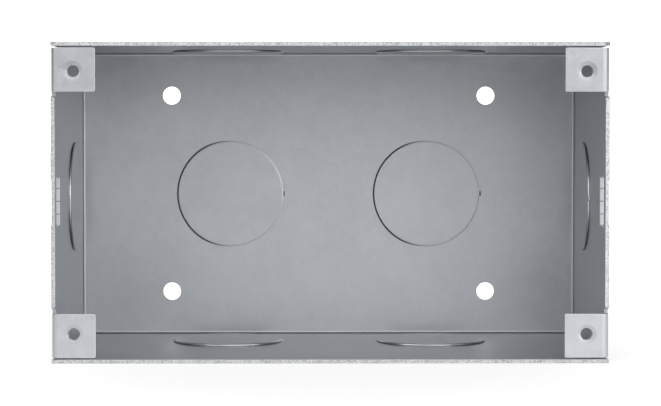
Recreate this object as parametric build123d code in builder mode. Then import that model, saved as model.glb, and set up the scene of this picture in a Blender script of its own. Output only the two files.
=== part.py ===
from build123d import *

import os

# Metal back box: one sheet of galvanised steel, cut, pressed and folded into an open tray.
# Millimetres. X runs along the box, Z is up, and the open front faces -Y.
# The origin lies under the middle of the box, on the plane that the lower long wall stands on.

# Sheet and bends
sheet = 0.9
bend_inside = 0.7
bend_outside = bend_inside + sheet

# Lugs that take the screws of the fitting in front
fixing_pitch_x = 120.6
fixing_pitch_z = 61.8
lug_length = 10.4
lug_width = 10.3
lug_corner = 0.4
lug_hole_from_side = 5.2
lug_hole_from_edge = 5.5
thread_core = 2.9
collar_wall = 0.55
collar_height = 1.1
dish_width = 0.9
dish_depth = 0.4

# Cuts that let the sheet bend
seam = 0.45
corner_relief = 2.4
nick_width = 1.1
nick_depth = 2.1
rim_corner = 0.8

# Box: the lugs set its length and height
depth = 63.0
width = fixing_pitch_x + 2 * lug_hole_from_side
height = fixing_pitch_z + 2 * (sheet + seam + lug_hole_from_edge)
rim_y = -depth / 2
back_y = depth / 2
middle_z = height / 2

# Screw holes through the base
wall_screw_hole = 4.8
wall_screw_pitch_x = 82.5
wall_screw_pitch_z = 51.5

# Knockouts: discs sheared most of the way through the sheet and left standing into the box
knockout_diameter = 27.5
knockout_radius = knockout_diameter / 2
knockout_pitch = 51.5
knockout_from_back = 21.0
knockout_web = 0.25
knockout_step = sheet - knockout_web
knockout_bevel = 0.2
tie_width = 1.2
tie_ramp = 0.55

# Slots through the short walls behind the rims, and the shallow pressing on each bar in front of one
slot_length = 11.7
slot_width = 6.9
slot_corner = 0.5
slot_bar = 3.4
press_length = 10.6
press_depth = 0.2

# Planes on the inner faces: local Z points into the box, and local X towards the ties of the knockouts
knockout_y = back_y - knockout_from_back
base_inside = Plane((0, back_y - sheet, middle_z), x_dir=(1, 0, 0), z_dir=(0, -1, 0))
floor_inside = Plane((0, knockout_y, sheet), x_dir=(1, 0, 0), z_dir=(0, 0, 1))
roof_inside = Plane((0, knockout_y, height - sheet), x_dir=(1, 0, 0), z_dir=(0, 0, -1))
left_inside = Plane((sheet - width / 2, knockout_y, middle_z), x_dir=(0, 1, 0), z_dir=(1, 0, 0))
right_inside = Plane((width / 2 - sheet, knockout_y, middle_z), x_dir=(0, -1, 0), z_dir=(-1, 0, 0))
pair = [(-knockout_pitch / 2, 0), (knockout_pitch / 2, 0)]
knockout_walls = [
    (base_inside, pair),
    (floor_inside, pair),
    (roof_inside, pair),
    (left_inside, [(0, 0)]),
    (right_inside, [(0, 0)]),
]


# One knockout disc with its tie, on a sheet whose inner face is at local Z = 0
with BuildPart() as knockout:
    with BuildSketch(Plane.XY.offset(-knockout_web)):
        Circle(knockout_radius)
    extrude(amount=sheet)
    chamfer(knockout.edges().filter_by(GeomType.CIRCLE).sort_by(Axis.Z)[-1], knockout_bevel)
    with BuildSketch(Plane.XZ):
        Polygon(
            (knockout_radius - tie_ramp, -knockout_web),
            (knockout_radius, knockout_step),
            (knockout_radius + tie_ramp, 0),
            (knockout_radius, -sheet),
            align=None,
        )
    extrude(amount=tie_width / 2, both=True)

# The four lugs, each bent in from a short wall, with a dished collar drawn out of it for the thread
with BuildPart() as lugs:
    side_x = width / 2
    bend_x = side_x - bend_outside
    bend_y = rim_y + bend_outside
    foot_y = rim_y + nick_depth
    with BuildSketch(Plane.XY.offset(height - sheet - seam)):
        with BuildLine():
            Polyline((side_x, bend_y), (side_x, foot_y), (side_x - sheet, foot_y), (side_x - sheet, bend_y))
            CenterArc((bend_x, bend_y), bend_inside, 0, -90)
            Polyline(
                (bend_x, rim_y + sheet),
                (side_x - lug_length, rim_y + sheet),
                (side_x - lug_length, rim_y),
                (bend_x, rim_y),
            )
            CenterArc((bend_x, bend_y), bend_outside, -90, 90)
        make_face()
    extrude(amount=-lug_width)
    fillet(lugs.edges().filter_by(Axis.Y).group_by(Axis.X)[0], lug_corner)
    lug_front = Plane(
        (fixing_pitch_x / 2, rim_y, middle_z + fixing_pitch_z / 2), x_dir=(1, 0, 0), z_dir=(0, -1, 0)
    )
    with BuildSketch(lug_front.offset(-sheet)):
        Circle(thread_core / 2 + collar_wall)
    extrude(amount=-collar_height)
    with Locations(lug_front):
        Hole(thread_core / 2)
    front_face = lugs.faces().sort_by(Axis.Y)[0]
    mouth = front_face.edges().filter_by(GeomType.CIRCLE).sort_by(SortBy.RADIUS)[-1]
    chamfer(mouth, dish_width, dish_depth, reference=front_face)
    mirror(about=Plane.YZ)
    mirror(about=Plane.XY.offset(middle_z))

# The folded box
with BuildPart() as back_box:
    # Tray: the base and four walls, with bent edges round the base
    base_outside = base_inside.offset(-sheet)
    with BuildSketch(base_outside):
        Rectangle(width, height)
    extrude(amount=depth)
    fillet(back_box.faces().sort_by(Axis.Y)[-1].edges(), bend_outside)
    offset(amount=-sheet, openings=back_box.faces().sort_by(Axis.Y)[0])

    # Open corners of the base, where two bends would meet, and the seam at each end of a short wall
    with BuildSketch(base_outside):
        with GridLocations(width - corner_relief, height - corner_relief, 2, 2):
            Rectangle(corner_relief, corner_relief)
    extrude(amount=corner_relief, mode=Mode.SUBTRACT)
    with BuildSketch(base_outside):
        with GridLocations(width - sheet, height - 2 * sheet - seam, 2, 2):
            Rectangle(sheet, seam)
    extrude(amount=depth, mode=Mode.SUBTRACT)

    # Room for the lugs at the rims of the short walls, with a nick beside each that frees its bend
    cut_width = seam + lug_width + nick_width
    for short_wall in (left_inside, right_inside):
        rim_plane = Plane((short_wall.origin.X, rim_y, middle_z), x_dir=(0, 0, 1), z_dir=short_wall.z_dir)
        with BuildSketch(rim_plane):
            with GridLocations(height - 2 * sheet - cut_width, 0, 2, 1):
                Rectangle(cut_width, 2 * nick_depth)
        extrude(amount=-sheet, mode=Mode.SUBTRACT)
    rim_edges = back_box.edges().filter_by(Axis.X).group_by(Axis.Y)[0]
    fillet(rim_edges.filter_by(lambda edge: edge.length < 2 * sheet), rim_corner)
    add(lugs.part)

    # Screw holes through the base
    with BuildSketch(base_inside):
        with GridLocations(wall_screw_pitch_x, wall_screw_pitch_z, 2, 2):
            Circle(wall_screw_hole / 2)
    extrude(amount=-sheet, mode=Mode.SUBTRACT)

    # Slots behind the rims of the short walls, each with its bar pressed a little thinner from outside
    for short_wall in (left_inside, right_inside):
        slot_y = rim_y + slot_bar + slot_width / 2
        slot_plane = Plane((short_wall.origin.X, slot_y, middle_z), x_dir=(0, 0, 1), z_dir=short_wall.z_dir)
        with BuildSketch(slot_plane):
            RectangleRounded(slot_length, slot_width, slot_corner)
        extrude(amount=-sheet, mode=Mode.SUBTRACT)
        bar_y = rim_y + slot_bar / 2
        bar_plane = Plane((short_wall.origin.X, bar_y, middle_z), x_dir=(0, 0, 1), z_dir=short_wall.z_dir)
        with BuildSketch(bar_plane.offset(-sheet)):
            Rectangle(press_length, slot_bar)
        extrude(amount=press_depth, mode=Mode.SUBTRACT)

    # Knockouts: an opening with a bevelled mouth outside, and the sheared disc standing in it
    for wall, places in knockout_walls:
        with BuildSketch(wall):
            with Locations(*places):
                Circle(knockout_radius)
        extrude(amount=-sheet, mode=Mode.SUBTRACT)
        cut_edges = back_box.edges(Select.LAST).filter_by(GeomType.CIRCLE)
        mouths = cut_edges.group_by(Axis(wall.origin, wall.z_dir))[0]
        chamfer(mouths, knockout_bevel)
        with Locations(wall):
            with Locations(*places):
                add(knockout.part)

back_box.part.label = "back_box"
os.makedirs("parts", exist_ok=True)
export_step(back_box.part, "parts/back_box.step")
print("solids", len(back_box.part.solids()), "volume", round(back_box.part.volume, 1))
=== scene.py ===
import math
from types import SimpleNamespace

import bmesh
import bpy
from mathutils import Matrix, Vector


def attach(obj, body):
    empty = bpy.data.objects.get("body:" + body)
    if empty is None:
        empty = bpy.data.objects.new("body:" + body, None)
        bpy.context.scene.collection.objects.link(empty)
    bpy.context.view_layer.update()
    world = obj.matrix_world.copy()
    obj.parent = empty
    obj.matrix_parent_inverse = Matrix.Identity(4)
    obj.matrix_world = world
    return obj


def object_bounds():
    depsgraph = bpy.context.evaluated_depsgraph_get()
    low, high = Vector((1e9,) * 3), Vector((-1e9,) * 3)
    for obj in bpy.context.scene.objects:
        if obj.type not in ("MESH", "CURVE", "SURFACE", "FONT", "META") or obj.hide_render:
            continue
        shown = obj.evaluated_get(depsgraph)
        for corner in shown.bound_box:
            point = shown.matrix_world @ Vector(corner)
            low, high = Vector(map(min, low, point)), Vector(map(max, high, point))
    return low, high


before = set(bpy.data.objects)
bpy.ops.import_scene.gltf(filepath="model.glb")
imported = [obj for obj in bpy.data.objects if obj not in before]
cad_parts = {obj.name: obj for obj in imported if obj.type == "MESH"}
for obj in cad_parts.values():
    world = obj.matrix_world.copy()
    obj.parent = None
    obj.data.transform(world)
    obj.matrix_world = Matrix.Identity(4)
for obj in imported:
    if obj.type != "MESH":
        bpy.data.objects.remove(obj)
cad_low, cad_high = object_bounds()

# Everything is in metres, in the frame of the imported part: X along the box, Z up, the open front towards -Y.
MM = 0.001
MIDDLE = (cad_low + cad_high) / 2
HALF = (cad_high - cad_low) / 2
SHEET = 0.9 * MM
FLATNESS = 0.02 * MM

# Camera: its place, how far it looks down and round, its lens, and how near and far it sees
CAMERA_PLACE = Vector((-3.6, -537.0, 58.0)) * MM
CAMERA_DOWN = math.radians(1.68)
CAMERA_TURN = math.radians(-0.41)
CAMERA_LENS = 117.5
CAMERA_SHIFT_Y = -0.035
CAMERA_NEAR, CAMERA_FAR = 0.01, 20

# Soft lights of the studio: azimuth from the front towards the right, elevation and half width, all in degrees,
# and level
STUDIO_LEVEL = 0.02
STUDIO_LIGHTS = (
    (-60, 0, 30, 0.35),
    (-25, 0, 28, 0.5),
    (30, 0, 28, 1.05),
    (62, 0, 30, 2.5),
    (-50, 25, 30, 1.9),
    (-15, 25, 30, 0.5),
    (15, 25, 30, 1.3),
    (0, 50, 30, 1.0),
    (37, 8, 15, 1.9),
    (0, 80, 30, 1.1),
    (180, 10, 70, 1.4),
)

# Floor: pale under and behind the object, and a little dimmer in front of it, towards the camera
FLOOR_REACH = 3.0
FLOOR_CELLS = 8
FLOOR_GAP = 0.05 * MM
FLOOR_PALE_Y = -110 * MM
FLOOR_DIM_Y = -360 * MM
FLOOR_PALE = (0.82, 0.82, 0.82, 1)
FLOOR_DIM = (0.66, 0.66, 0.66, 1)
FLOOR_LIFT = 0.5

# Noises of the finish: size, detail and roughness
WOBBLE_NOISE = (1.5 * MM, 2.0, 0.5)
GRAIN_NOISE = (0.28 * MM, 3.0, 0.6)
MOTTLE_NOISE = (22 * MM, 3.0, 0.5)
TEAR_NOISE = (0.32 * MM, 2.0, 0.7)

# Zinc on the steel: its patterns, the part of each noise that counts, and how far they move tone and roughness
CRYSTAL_SIZE = 2.2 * MM
CRYSTAL_WOBBLE = 1.2 * MM
CRYSTAL_TONE = 0.02
GRAIN_RANGE = (0.3, 0.7)
GRAIN_TONE = 0.05
MOTTLE_RANGE = (0.35, 0.65)
MOTTLE_TONE = 0.02
TONE_REACH = 0.12
STEEL_DARK = (0.405, 0.42, 0.445, 1)
STEEL_PALE = (0.565, 0.585, 0.61, 1)
# Painted light: the faces at the open front are made lighter than the rest of the sheet
FRONT_PAINTED_LIGHT = (1.15, 1.15, 1.15, 1)
ROUGH_LOW = 0.38
ROUGH_HIGH = 0.44
GRAIN_ROUGHNESS = 0.04
BUMP_STRENGTH = 0.35
BUMP_DISTANCE = 0.03 * MM
GRAIN_HEIGHT = 0.35
TEAR_HEIGHT = 2.0

# Edges rubbed bright by handling and painted with a highlight, most where the grain stands out
EDGE_RADIUS = 0.22 * MM
EDGE_SAMPLES = 6
EDGE_UNTOUCHED = 0.995
EDGE_WORN_AND_HIGHLIT = 0.85
WEAR_AND_HIGHLIGHT_GRAIN_RANGE = (0.3, 0.6)
WEAR_AND_HIGHLIGHT_SHARES = (0.25, 0.8)
WORN_POLISH = 0.10
WEAR_AND_HIGHLIGHT_COLOUR = (0.93, 0.94, 0.95, 1)

# Bends round the base, painted darker as shade in the corners
BEND_REACH = 1.6 * MM
BEND_PAINTED_SHADE = (0.86, 0.86, 0.86, 1)

# Sheared rims: the shear leaves them rough and leaning outwards
RIM_LEAN = 0.45
RIM_ROUGHNESS = 0.12
TEAR_RANGE = (0.35, 0.6)
RIM_DARK = (0.40, 0.41, 0.42, 1)
RIM_PALE = (0.71, 0.72, 0.73, 1)

# Knockout discs: flanks that tore at the foot, where they are also painted dark as shade, and burnished above, and
# in the base a rounded edge instead of the burnish
KNOCKOUT_RADIUS = 13.75 * MM
KNOCKOUT_PITCH = 51.5 * MM
KNOCKOUT_FROM_BACK = 21.0 * MM
KNOCKOUT_STEP = 0.65 * MM
FLANK_WIDTH = 0.24 * MM
SHEAR_DEPTH = 0.32 * MM
BURNISHED_COLOUR = (0.74, 0.75, 0.76, 1)
BURNISHED_ROUGHNESS = 0.24
TORN_AND_SHADE_COLOUR = (0.24, 0.245, 0.25, 1)
EDGE_ROUNDING = 3.5

# Painted shadow round each disc in the base, a dark ring where the disc's step shades the sheet: it fades from the
# side away from the tie to the side towards it
LINE_WIDTH = 0.42 * MM
LINE_FULL = -0.6 * KNOCKOUT_RADIUS
LINE_GONE = 0.35 * KNOCKOUT_RADIUS
SHADOW_LINE_COLOUR = (0.05, 0.052, 0.055, 1)

# Screw holes through the base, whose walls and edges tore too and are painted dark as shade
SCREW_HOLE_RADIUS = 2.4 * MM
SCREW_HOLE_EDGE = 0.1 * MM
SCREW_HOLE_X = 41.25 * MM
SCREW_HOLE_Z = 25.75 * MM

# Score marks across the rear cut face of each slot in a short wall, painted as dark lines of shade
SLOT_REAR = 10.3 * MM
SCORE_PITCH = 3.05 * MM
SCORE_REACH = 1.5 * SCORE_PITCH
SCORE_WIDTH = 0.22 * MM
SCORE_SHADE_COLOUR = (0.2, 0.205, 0.21, 1)
SLOT_FACE_COLOUR = (0.62, 0.63, 0.64, 1)

# Threads in the collars of the four lugs; depths are from the open front
LUG_PITCH_X = 120.6 * MM
LUG_PITCH_Z = 61.8 * MM
THREAD_CORE = 2.9 * MM
THREAD_PITCH = 0.6 * MM
THREAD_CREST = 0.13 * MM
THREAD_BURIED = 0.03 * MM
THREAD_HALF_WIDTH = 0.36 * THREAD_PITCH
THREAD_FLAT = 0.1
THREAD_START = 0.55 * MM
THREAD_END = 1.95 * MM
THREAD_STEPS = 32
THREAD_TAPER_STEPS = 8

# Dished mouths of the lugs' holes, pressed so that they run softly into the face
DISH_RADIUS = 2.4 * MM
DISH_DEPTH = 0.42 * MM
DISH_SOFTNESS = 3.2


def make_camera():
    data = bpy.data.cameras.new("camera")
    data.lens = CAMERA_LENS
    data.shift_y = CAMERA_SHIFT_Y
    data.clip_start = CAMERA_NEAR
    data.clip_end = CAMERA_FAR
    camera = bpy.data.objects.new("camera", data)
    camera.location = CAMERA_PLACE
    camera.rotation_euler = (math.pi / 2 - CAMERA_DOWN, 0, CAMERA_TURN)
    bpy.context.scene.collection.objects.link(camera)
    bpy.context.scene.camera = camera


def new_tree(owner):
    owner.use_nodes = True
    tree = owner.node_tree
    tree.nodes.clear()
    return tree


def feed(tree, socket, value):
    """Gives an input a value, or the socket that feeds it."""
    if isinstance(value, bpy.types.NodeSocket):
        tree.links.new(value, socket)
    else:
        socket.default_value = value


def node(tree, kind, inputs=None, **settings):
    """One shader node: its own settings by name, and its inputs as values or as the sockets that feed them."""
    made = tree.nodes.new(kind)
    for name, value in settings.items():
        setattr(made, name, value)
    for key, value in (inputs or {}).items():
        feed(tree, made.inputs[key], value)
    return made


def math_node(tree, operation, first, second=0.0):
    return node(tree, "ShaderNodeMath", {0: first, 1: second}, operation=operation).outputs[0]


def product(tree, first, *others):
    for other in others:
        first = math_node(tree, "MULTIPLY", first, other)
    return first


def largest(tree, first, *others):
    for other in others:
        first = math_node(tree, "MAXIMUM", first, other)
    return first


def below(tree, value, limit):
    return math_node(tree, "LESS_THAN", value, limit)


def above(tree, value, limit):
    return math_node(tree, "GREATER_THAN", value, limit)


def near(tree, value, target, reach):
    """1 where value is less than reach from target."""
    return below(tree, math_node(tree, "ABSOLUTE", math_node(tree, "SUBTRACT", value, target)), reach)


def vector_node(tree, operation, *inputs):
    """The result of a vector sum, or its Value where the operation gives a number."""
    made = node(tree, "ShaderNodeVectorMath", dict(enumerate(inputs)), operation=operation)
    return made.outputs["Value" if operation in ("DOT_PRODUCT", "LENGTH") else "Vector"]


def ramp(tree, value, low, high, out_low=0.0, out_high=1.0, smooth=True):
    """value taken from low..high to out_low..out_high, and held at the ends."""
    made = node(
        tree,
        "ShaderNodeMapRange",
        {"Value": value, "From Min": low, "From Max": high, "To Min": out_low, "To Max": out_high},
        interpolation_type="SMOOTHSTEP" if smooth else "LINEAR",
    )
    return made.outputs["Result"]


def spread(tree, value, limits, reach):
    """value taken from its limits to -reach..reach."""
    return ramp(tree, value, *limits, -reach, reach, smooth=False)


def mix_colour(tree, share, first, second, blend="MIX"):
    made = node(tree, "ShaderNodeMix", data_type="RGBA", blend_type=blend)
    for index, value in ((0, share), (6, first), (7, second)):
        feed(tree, made.inputs[index], value)
    return made.outputs[2]


def noise(tree, place, kind, output="Fac"):
    size, detail, roughness = kind
    inputs = {"Vector": place, "Scale": 1 / size, "Detail": detail, "Roughness": roughness}
    return node(tree, "ShaderNodeTexNoise", inputs).outputs[output]


def make_world():
    """A dim studio with soft lights round it, each a smooth spot in the sky."""
    world = bpy.data.worlds.new("studio")
    bpy.context.scene.world = world
    tree = new_tree(world)
    direction = node(tree, "ShaderNodeTexCoord").outputs["Generated"]
    total = STUDIO_LEVEL
    for azimuth, elevation, reach, level in STUDIO_LIGHTS:
        turn, rise = math.radians(azimuth), math.radians(elevation)
        aim = (math.sin(turn) * math.cos(rise), -math.cos(turn) * math.cos(rise), math.sin(rise))
        towards = vector_node(tree, "DOT_PRODUCT", direction, aim)
        spot = ramp(tree, towards, math.cos(math.radians(reach)), 1.0, 0.0, level)
        total = math_node(tree, "ADD", spot, total)
    background = node(tree, "ShaderNodeBackground", {"Color": (1, 1, 1, 1), "Strength": total})
    node(tree, "ShaderNodeOutputWorld", {"Surface": background.outputs[0]})


def make_floor():
    """A plain pale floor under the lower long wall, which keeps the object's shadow."""
    mesh = bpy.data.meshes.new("floor")
    built = bmesh.new()
    bmesh.ops.create_grid(built, x_segments=FLOOR_CELLS, y_segments=FLOOR_CELLS, size=FLOOR_REACH)
    built.to_mesh(mesh)
    built.free()
    floor = bpy.data.objects.new("floor", mesh)
    floor.location.z = -FLOOR_GAP
    bpy.context.scene.collection.objects.link(floor)
    mesh.materials.append(floor_material())


def floor_material():
    """Matt, and lifted towards white where the camera or a shiny surface sees it."""
    material = bpy.data.materials.new("pale_floor")
    tree = new_tree(material)
    place = node(tree, "ShaderNodeTexCoord").outputs["Object"]
    along = node(tree, "ShaderNodeSeparateXYZ", {0: place}).outputs["Y"]
    pale = ramp(tree, along, FLOOR_DIM_Y, FLOOR_PALE_Y)
    paths = node(tree, "ShaderNodeLightPath").outputs
    seen = largest(tree, paths["Is Camera Ray"], paths["Is Glossy Ray"], paths["Is Transmission Ray"])
    lift = product(tree, seen, pale, FLOOR_LIFT)
    emission = node(tree, "ShaderNodeEmission", {"Color": (1, 1, 1, 1), "Strength": lift})
    diffuse = node(tree, "ShaderNodeBsdfDiffuse", {"Color": mix_colour(tree, pale, FLOOR_DIM, FLOOR_PALE)})
    total = node(tree, "ShaderNodeAddShader", {0: emission.outputs[0], 1: diffuse.outputs[0]})
    node(tree, "ShaderNodeOutputMaterial", {"Surface": total.outputs[0]})
    return material


def measure(tree):
    """Where a point of the box is: from the middle, and how far in from the front, the back and the walls."""
    place = node(tree, "ShaderNodeTexCoord").outputs["Object"]
    from_middle = vector_node(tree, "SUBTRACT", place, MIDDLE)
    parts = node(tree, "ShaderNodeSeparateXYZ", {0: from_middle}).outputs
    out_x = math_node(tree, "ABSOLUTE", parts["X"])
    out_z = math_node(tree, "ABSOLUTE", parts["Z"])
    return SimpleNamespace(
        place=place,
        from_middle=from_middle,
        x=parts["X"],
        z=parts["Z"],
        out_x=out_x,
        out_z=out_z,
        from_front=math_node(tree, "ADD", parts["Y"], HALF.y),
        from_back=math_node(tree, "SUBTRACT", HALF.y, parts["Y"]),
        from_short_wall=math_node(tree, "SUBTRACT", HALF.x, out_x),
        from_long_wall=math_node(tree, "SUBTRACT", HALF.z, out_z),
    )


def radius(tree, first, second):
    flat = node(tree, "ShaderNodeCombineXYZ", {"X": first, "Y": second}).outputs[0]
    return vector_node(tree, "LENGTH", flat)


def from_axis(tree, spot, x, z):
    """How far a point is from the nearest of the four axes along Y at x and z from the middle."""
    beside = math_node(tree, "SUBTRACT", spot.out_x, x)
    over = math_node(tree, "SUBTRACT", spot.out_z, z)
    return radius(tree, beside, over)


def rim_masks(tree, spot, front):
    """1 on the sheared rims of the walls, and the way out of the box there."""
    side = product(tree, below(tree, spot.from_short_wall, SHEET), front)
    level = product(tree, below(tree, spot.from_long_wall, SHEET), front)
    walls = node(tree, "ShaderNodeCombineXYZ", {"X": side, "Z": level}).outputs[0]
    outwards = vector_node(tree, "MULTIPLY", walls, vector_node(tree, "SIGN", spot.from_middle))
    return largest(tree, side, level), outwards


def bend_mask(tree, spot):
    """1 on the bends between the base and the walls."""
    short = below(tree, spot.from_short_wall, BEND_REACH)
    long = below(tree, spot.from_long_wall, BEND_REACH)
    return product(tree, largest(tree, short, long), below(tree, spot.from_back, BEND_REACH))


def dish_mask(tree, spot):
    """0 at the holes in the lugs, rising to 1 at the outside of their dished mouths."""
    off = from_axis(tree, spot, LUG_PITCH_X / 2, LUG_PITCH_Z / 2)
    share = ramp(tree, off, THREAD_CORE / 2, DISH_RADIUS, smooth=False)
    inside = below(tree, off, DISH_RADIUS)
    return product(tree, inside, share, below(tree, spot.from_front, DISH_DEPTH))


def slot_masks(tree, spot):
    """1 on the rear cut face of each slot, and 1 on three fine lines across it, where shade is painted."""
    face = near(tree, spot.from_front, SLOT_REAR, FLATNESS)
    line = below(tree, math_node(tree, "PINGPONG", spot.z, SCORE_PITCH / 2), SCORE_WIDTH / 2)
    return face, product(tree, line, face, below(tree, spot.out_z, SCORE_REACH))


def flank_mask(tree, inwards, first, second, low, high):
    """1 on a disc's flank, between low and high from the sheet's inner face."""
    off = radius(tree, first, second)
    ring = near(tree, off, KNOCKOUT_RADIUS - FLANK_WIDTH / 2, FLANK_WIDTH / 2 + FLATNESS)
    return product(tree, ring, above(tree, inwards, SHEET + low), below(tree, inwards, SHEET + high))


def knockout_masks(tree, spot):
    """The flanks' foot that tore, painted dark as shade as well, their burnished part, and the edge of the discs in
    the base with the painted shadow round them.
    """
    place_x = math_node(tree, "MULTIPLY", math_node(tree, "SIGN", spot.x), KNOCKOUT_PITCH / 2)
    along = math_node(tree, "SUBTRACT", spot.x, place_x)
    deep = math_node(tree, "SUBTRACT", spot.from_back, KNOCKOUT_FROM_BACK)
    base = (spot.from_back, along, spot.z)
    walls = ((spot.from_long_wall, along, deep), (spot.from_short_wall, spot.z, deep))
    top = KNOCKOUT_STEP - FLATNESS
    torn = largest(tree, *(flank_mask(tree, *disc, FLATNESS, SHEAR_DEPTH) for disc in (base, *walls)))
    burnished = largest(tree, *(flank_mask(tree, *disc, SHEAR_DEPTH, top) for disc in walls))
    base_edge = flank_mask(tree, *base, SHEAR_DEPTH, top)
    return torn, burnished, base_edge, shadow_line_mask(tree, spot, along)


def shadow_line_mask(tree, spot, along):
    """The painted shadow on the base's inner face, a dark ring round each disc."""
    outside = math_node(tree, "SUBTRACT", radius(tree, along, spot.z), KNOCKOUT_RADIUS)
    strength = ramp(tree, along, LINE_GONE, LINE_FULL)
    reached = below(tree, outside, math_node(tree, "MULTIPLY", strength, LINE_WIDTH))
    begun = above(tree, outside, -FLATNESS)
    return product(tree, reached, strength, begun, near(tree, spot.from_back, SHEET, FLATNESS))


def hole_mask(tree, spot):
    """1 on the walls and edges of the screw holes through the base, which tore and are painted dark as shade."""
    off = from_axis(tree, spot, SCREW_HOLE_X, SCREW_HOLE_Z)
    inside = below(tree, off, SCREW_HOLE_RADIUS + SCREW_HOLE_EDGE)
    return product(tree, inside, below(tree, spot.from_back, SHEET + FLATNESS))


def press_marks(tree, spot):
    """What cutting, pressing and folding left on the sheet, each as a mask."""
    marks = SimpleNamespace()
    marks.front = below(tree, spot.from_front, FLATNESS)
    marks.bend = bend_mask(tree, spot)
    marks.rim, marks.outwards = rim_masks(tree, spot, marks.front)
    marks.dish = dish_mask(tree, spot)
    marks.slot_face, marks.score = slot_masks(tree, spot)
    torn, marks.burnished, marks.base_edge, marks.line = knockout_masks(tree, spot)
    marks.torn = largest(tree, torn, hole_mask(tree, spot))
    return marks


def zinc_pattern(tree, place):
    """Faint crystals, fine grain and soft mottling all over, and the tearing of the rims."""
    wobble = noise(tree, place, WOBBLE_NOISE, "Color")
    bent = vector_node(tree, "MULTIPLY_ADD", wobble, (CRYSTAL_WOBBLE,) * 3, place)
    crystals = node(tree, "ShaderNodeTexVoronoi", {"Vector": bent, "Scale": 1 / CRYSTAL_SIZE}, feature="F1")
    return SimpleNamespace(
        crystal=node(tree, "ShaderNodeSeparateColor", {0: crystals.outputs["Color"]}).outputs[0],
        grain=noise(tree, place, GRAIN_NOISE),
        mottle=noise(tree, place, MOTTLE_NOISE),
        tear=noise(tree, place, TEAR_NOISE),
    )


def wear_and_highlight_edges(tree):
    """The normal with its edges rounded, and how far the surface there is rubbed and painted with a highlight."""
    rounded = node(tree, "ShaderNodeBevel", {"Radius": EDGE_RADIUS}, samples=EDGE_SAMPLES).outputs[0]
    normal = node(tree, "ShaderNodeNewGeometry").outputs["Normal"]
    sameness = vector_node(tree, "DOT_PRODUCT", rounded, normal)
    return rounded, ramp(tree, sameness, EDGE_UNTOUCHED, EDGE_WORN_AND_HIGHLIT)


def steel_colour(tree, zinc, wear_and_highlight, marks):
    tone = spread(tree, zinc.crystal, (0.0, 1.0), CRYSTAL_TONE)
    tone = math_node(tree, "ADD", tone, spread(tree, zinc.grain, GRAIN_RANGE, GRAIN_TONE))
    tone = math_node(tree, "ADD", tone, spread(tree, zinc.mottle, MOTTLE_RANGE, MOTTLE_TONE))
    tone = ramp(tree, tone, -TONE_REACH, TONE_REACH, smooth=False)
    colour = mix_colour(tree, tone, STEEL_DARK, STEEL_PALE)
    # Painted light on the front faces
    colour = mix_colour(tree, marks.front, colour, FRONT_PAINTED_LIGHT, blend="MULTIPLY")
    # Painted shade in the bends round the base
    colour = mix_colour(tree, marks.bend, colour, BEND_PAINTED_SHADE, blend="MULTIPLY")
    rim_colour = mix_colour(tree, ramp(tree, zinc.tear, *TEAR_RANGE), RIM_DARK, RIM_PALE)
    colour = mix_colour(tree, marks.rim, colour, rim_colour)
    # Edges rubbed pale, and also painted pale as a highlight
    wear_and_highlight_share = product(tree, wear_and_highlight, ramp(tree, zinc.grain, *WEAR_AND_HIGHLIGHT_GRAIN_RANGE, *WEAR_AND_HIGHLIGHT_SHARES))
    colour = mix_colour(tree, wear_and_highlight_share, colour, WEAR_AND_HIGHLIGHT_COLOUR)
    for mask, mark_colour in (
        (marks.slot_face, SLOT_FACE_COLOUR),
        # Painted shade along the marks across each slot face
        (marks.score, SCORE_SHADE_COLOUR),
        (marks.burnished, BURNISHED_COLOUR),
        # Places that tore, also painted dark as shade
        (marks.torn, TORN_AND_SHADE_COLOUR),
        # Painted shadow round the discs in the base
        (marks.line, SHADOW_LINE_COLOUR),
    ):
        colour = mix_colour(tree, mask, colour, mark_colour)
    return colour


def steel_roughness(tree, zinc, wear_and_highlight, marks):
    roughness = ramp(tree, zinc.crystal, 0.0, 1.0, ROUGH_LOW, ROUGH_HIGH, smooth=False)
    roughness = math_node(tree, "ADD", roughness, spread(tree, zinc.grain, GRAIN_RANGE, GRAIN_ROUGHNESS))
    roughness = math_node(tree, "ADD", roughness, product(tree, marks.rim, RIM_ROUGHNESS))
    roughness = math_node(tree, "SUBTRACT", roughness, product(tree, wear_and_highlight, WORN_POLISH))
    return ramp(tree, marks.burnished, 0.0, 1.0, roughness, BURNISHED_ROUGHNESS, smooth=False)


def steel_normal(tree, zinc, rounded, marks):
    """Rounded edges, rims that lean outwards, soft dishes and disc edges, and the grain as a bump."""
    lean = vector_node(tree, "MULTIPLY", marks.outwards, (RIM_LEAN,) * 3)
    edge = product(tree, marks.base_edge, -EDGE_ROUNDING)
    dish = product(tree, marks.dish, -DISH_SOFTNESS)
    forward = node(tree, "ShaderNodeCombineXYZ", {"Y": math_node(tree, "ADD", edge, dish)}).outputs[0]
    leaning = vector_node(tree, "ADD", vector_node(tree, "ADD", rounded, lean), forward)
    torn_height = product(tree, zinc.tear, marks.rim, TEAR_HEIGHT)
    height = math_node(tree, "ADD", product(tree, zinc.grain, GRAIN_HEIGHT), torn_height)
    inputs = {"Strength": BUMP_STRENGTH, "Distance": BUMP_DISTANCE, "Height": height}
    inputs["Normal"] = vector_node(tree, "NORMALIZE", leaning)
    return node(tree, "ShaderNodeBump", inputs).outputs[0]


def galvanised_steel():
    material = bpy.data.materials.new("galvanised_steel")
    tree = new_tree(material)
    spot = measure(tree)
    marks = press_marks(tree, spot)
    zinc = zinc_pattern(tree, spot.place)
    rounded, wear_and_highlight = wear_and_highlight_edges(tree)
    surface = {
        "Base Color": steel_colour(tree, zinc, wear_and_highlight, marks),
        "Metallic": 1.0,
        "Roughness": steel_roughness(tree, zinc, wear_and_highlight, marks),
        "Normal": steel_normal(tree, zinc, rounded, marks),
    }
    shader = node(tree, "ShaderNodeBsdfPrincipled", surface)
    node(tree, "ShaderNodeOutputMaterial", {"Surface": shader.outputs[0]})
    return material


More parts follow.
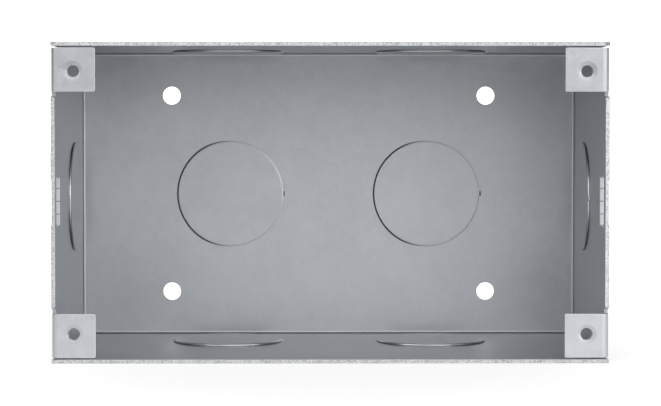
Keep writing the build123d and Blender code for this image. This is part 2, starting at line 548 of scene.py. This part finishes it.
def thread_section(taper):
    """Radius and place along the bore of the four corners of the ridge."""
    root = THREAD_CORE / 2 + THREAD_BURIED
    crest = THREAD_CORE / 2 - THREAD_CREST * taper
    flat = THREAD_FLAT * THREAD_HALF_WIDTH
    return (root, -THREAD_HALF_WIDTH), (crest, -flat), (crest, flat), (root, THREAD_HALF_WIDTH)


def thread_turns(name, centre_x, centre_z):
    """A right-handed ridge of nearly triangular section that winds along the bore of one lug."""
    built = bmesh.new()
    turns = (THREAD_END - THREAD_START - 2 * THREAD_HALF_WIDTH) / THREAD_PITCH
    steps = round(turns * THREAD_STEPS)
    rings = []
    for i in range(steps + 1):
        angle = 2 * math.pi * i / THREAD_STEPS
        taper = min(1.0, i / THREAD_TAPER_STEPS, (steps - i) / THREAD_TAPER_STEPS)
        y = cad_low.y + THREAD_START + THREAD_HALF_WIDTH + THREAD_PITCH * i / THREAD_STEPS
        ring = []
        for reach, along in thread_section(taper):
            x = centre_x + reach * math.sin(angle)
            z = centre_z + reach * math.cos(angle)
            ring.append(built.verts.new((x, y + along, z)))
        rings.append(ring)
    for first, second in zip(rings, rings[1:]):
        for k in range(len(first)):
            after = (k + 1) % len(first)
            built.faces.new((first[k], first[after], second[after], second[k]))
    built.faces.new(rings[0][::-1])
    built.faces.new(rings[-1])
    bmesh.ops.recalc_face_normals(built, faces=built.faces)
    mesh = bpy.data.meshes.new(name)
    built.to_mesh(mesh)
    built.free()
    thread = bpy.data.objects.new(name, mesh)
    bpy.context.scene.collection.objects.link(thread)
    return thread


def dress_threads(material):
    for side, x in (("left", -LUG_PITCH_X / 2), ("right", LUG_PITCH_X / 2)):
        for level, z in (("lower", MIDDLE.z - LUG_PITCH_Z / 2), ("upper", MIDDLE.z + LUG_PITCH_Z / 2)):
            thread = thread_turns(f"thread_{level}_{side}", x, z)
            thread.data.materials.append(material)
            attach(thread, "root")


bpy.context.scene.view_settings.view_transform = "Standard"
make_camera()
make_world()
make_floor()

steel = galvanised_steel()
for cad_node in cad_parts.values():
    cad_node.data.materials.clear()
    cad_node.data.materials.append(steel)
dress_threads(steel)
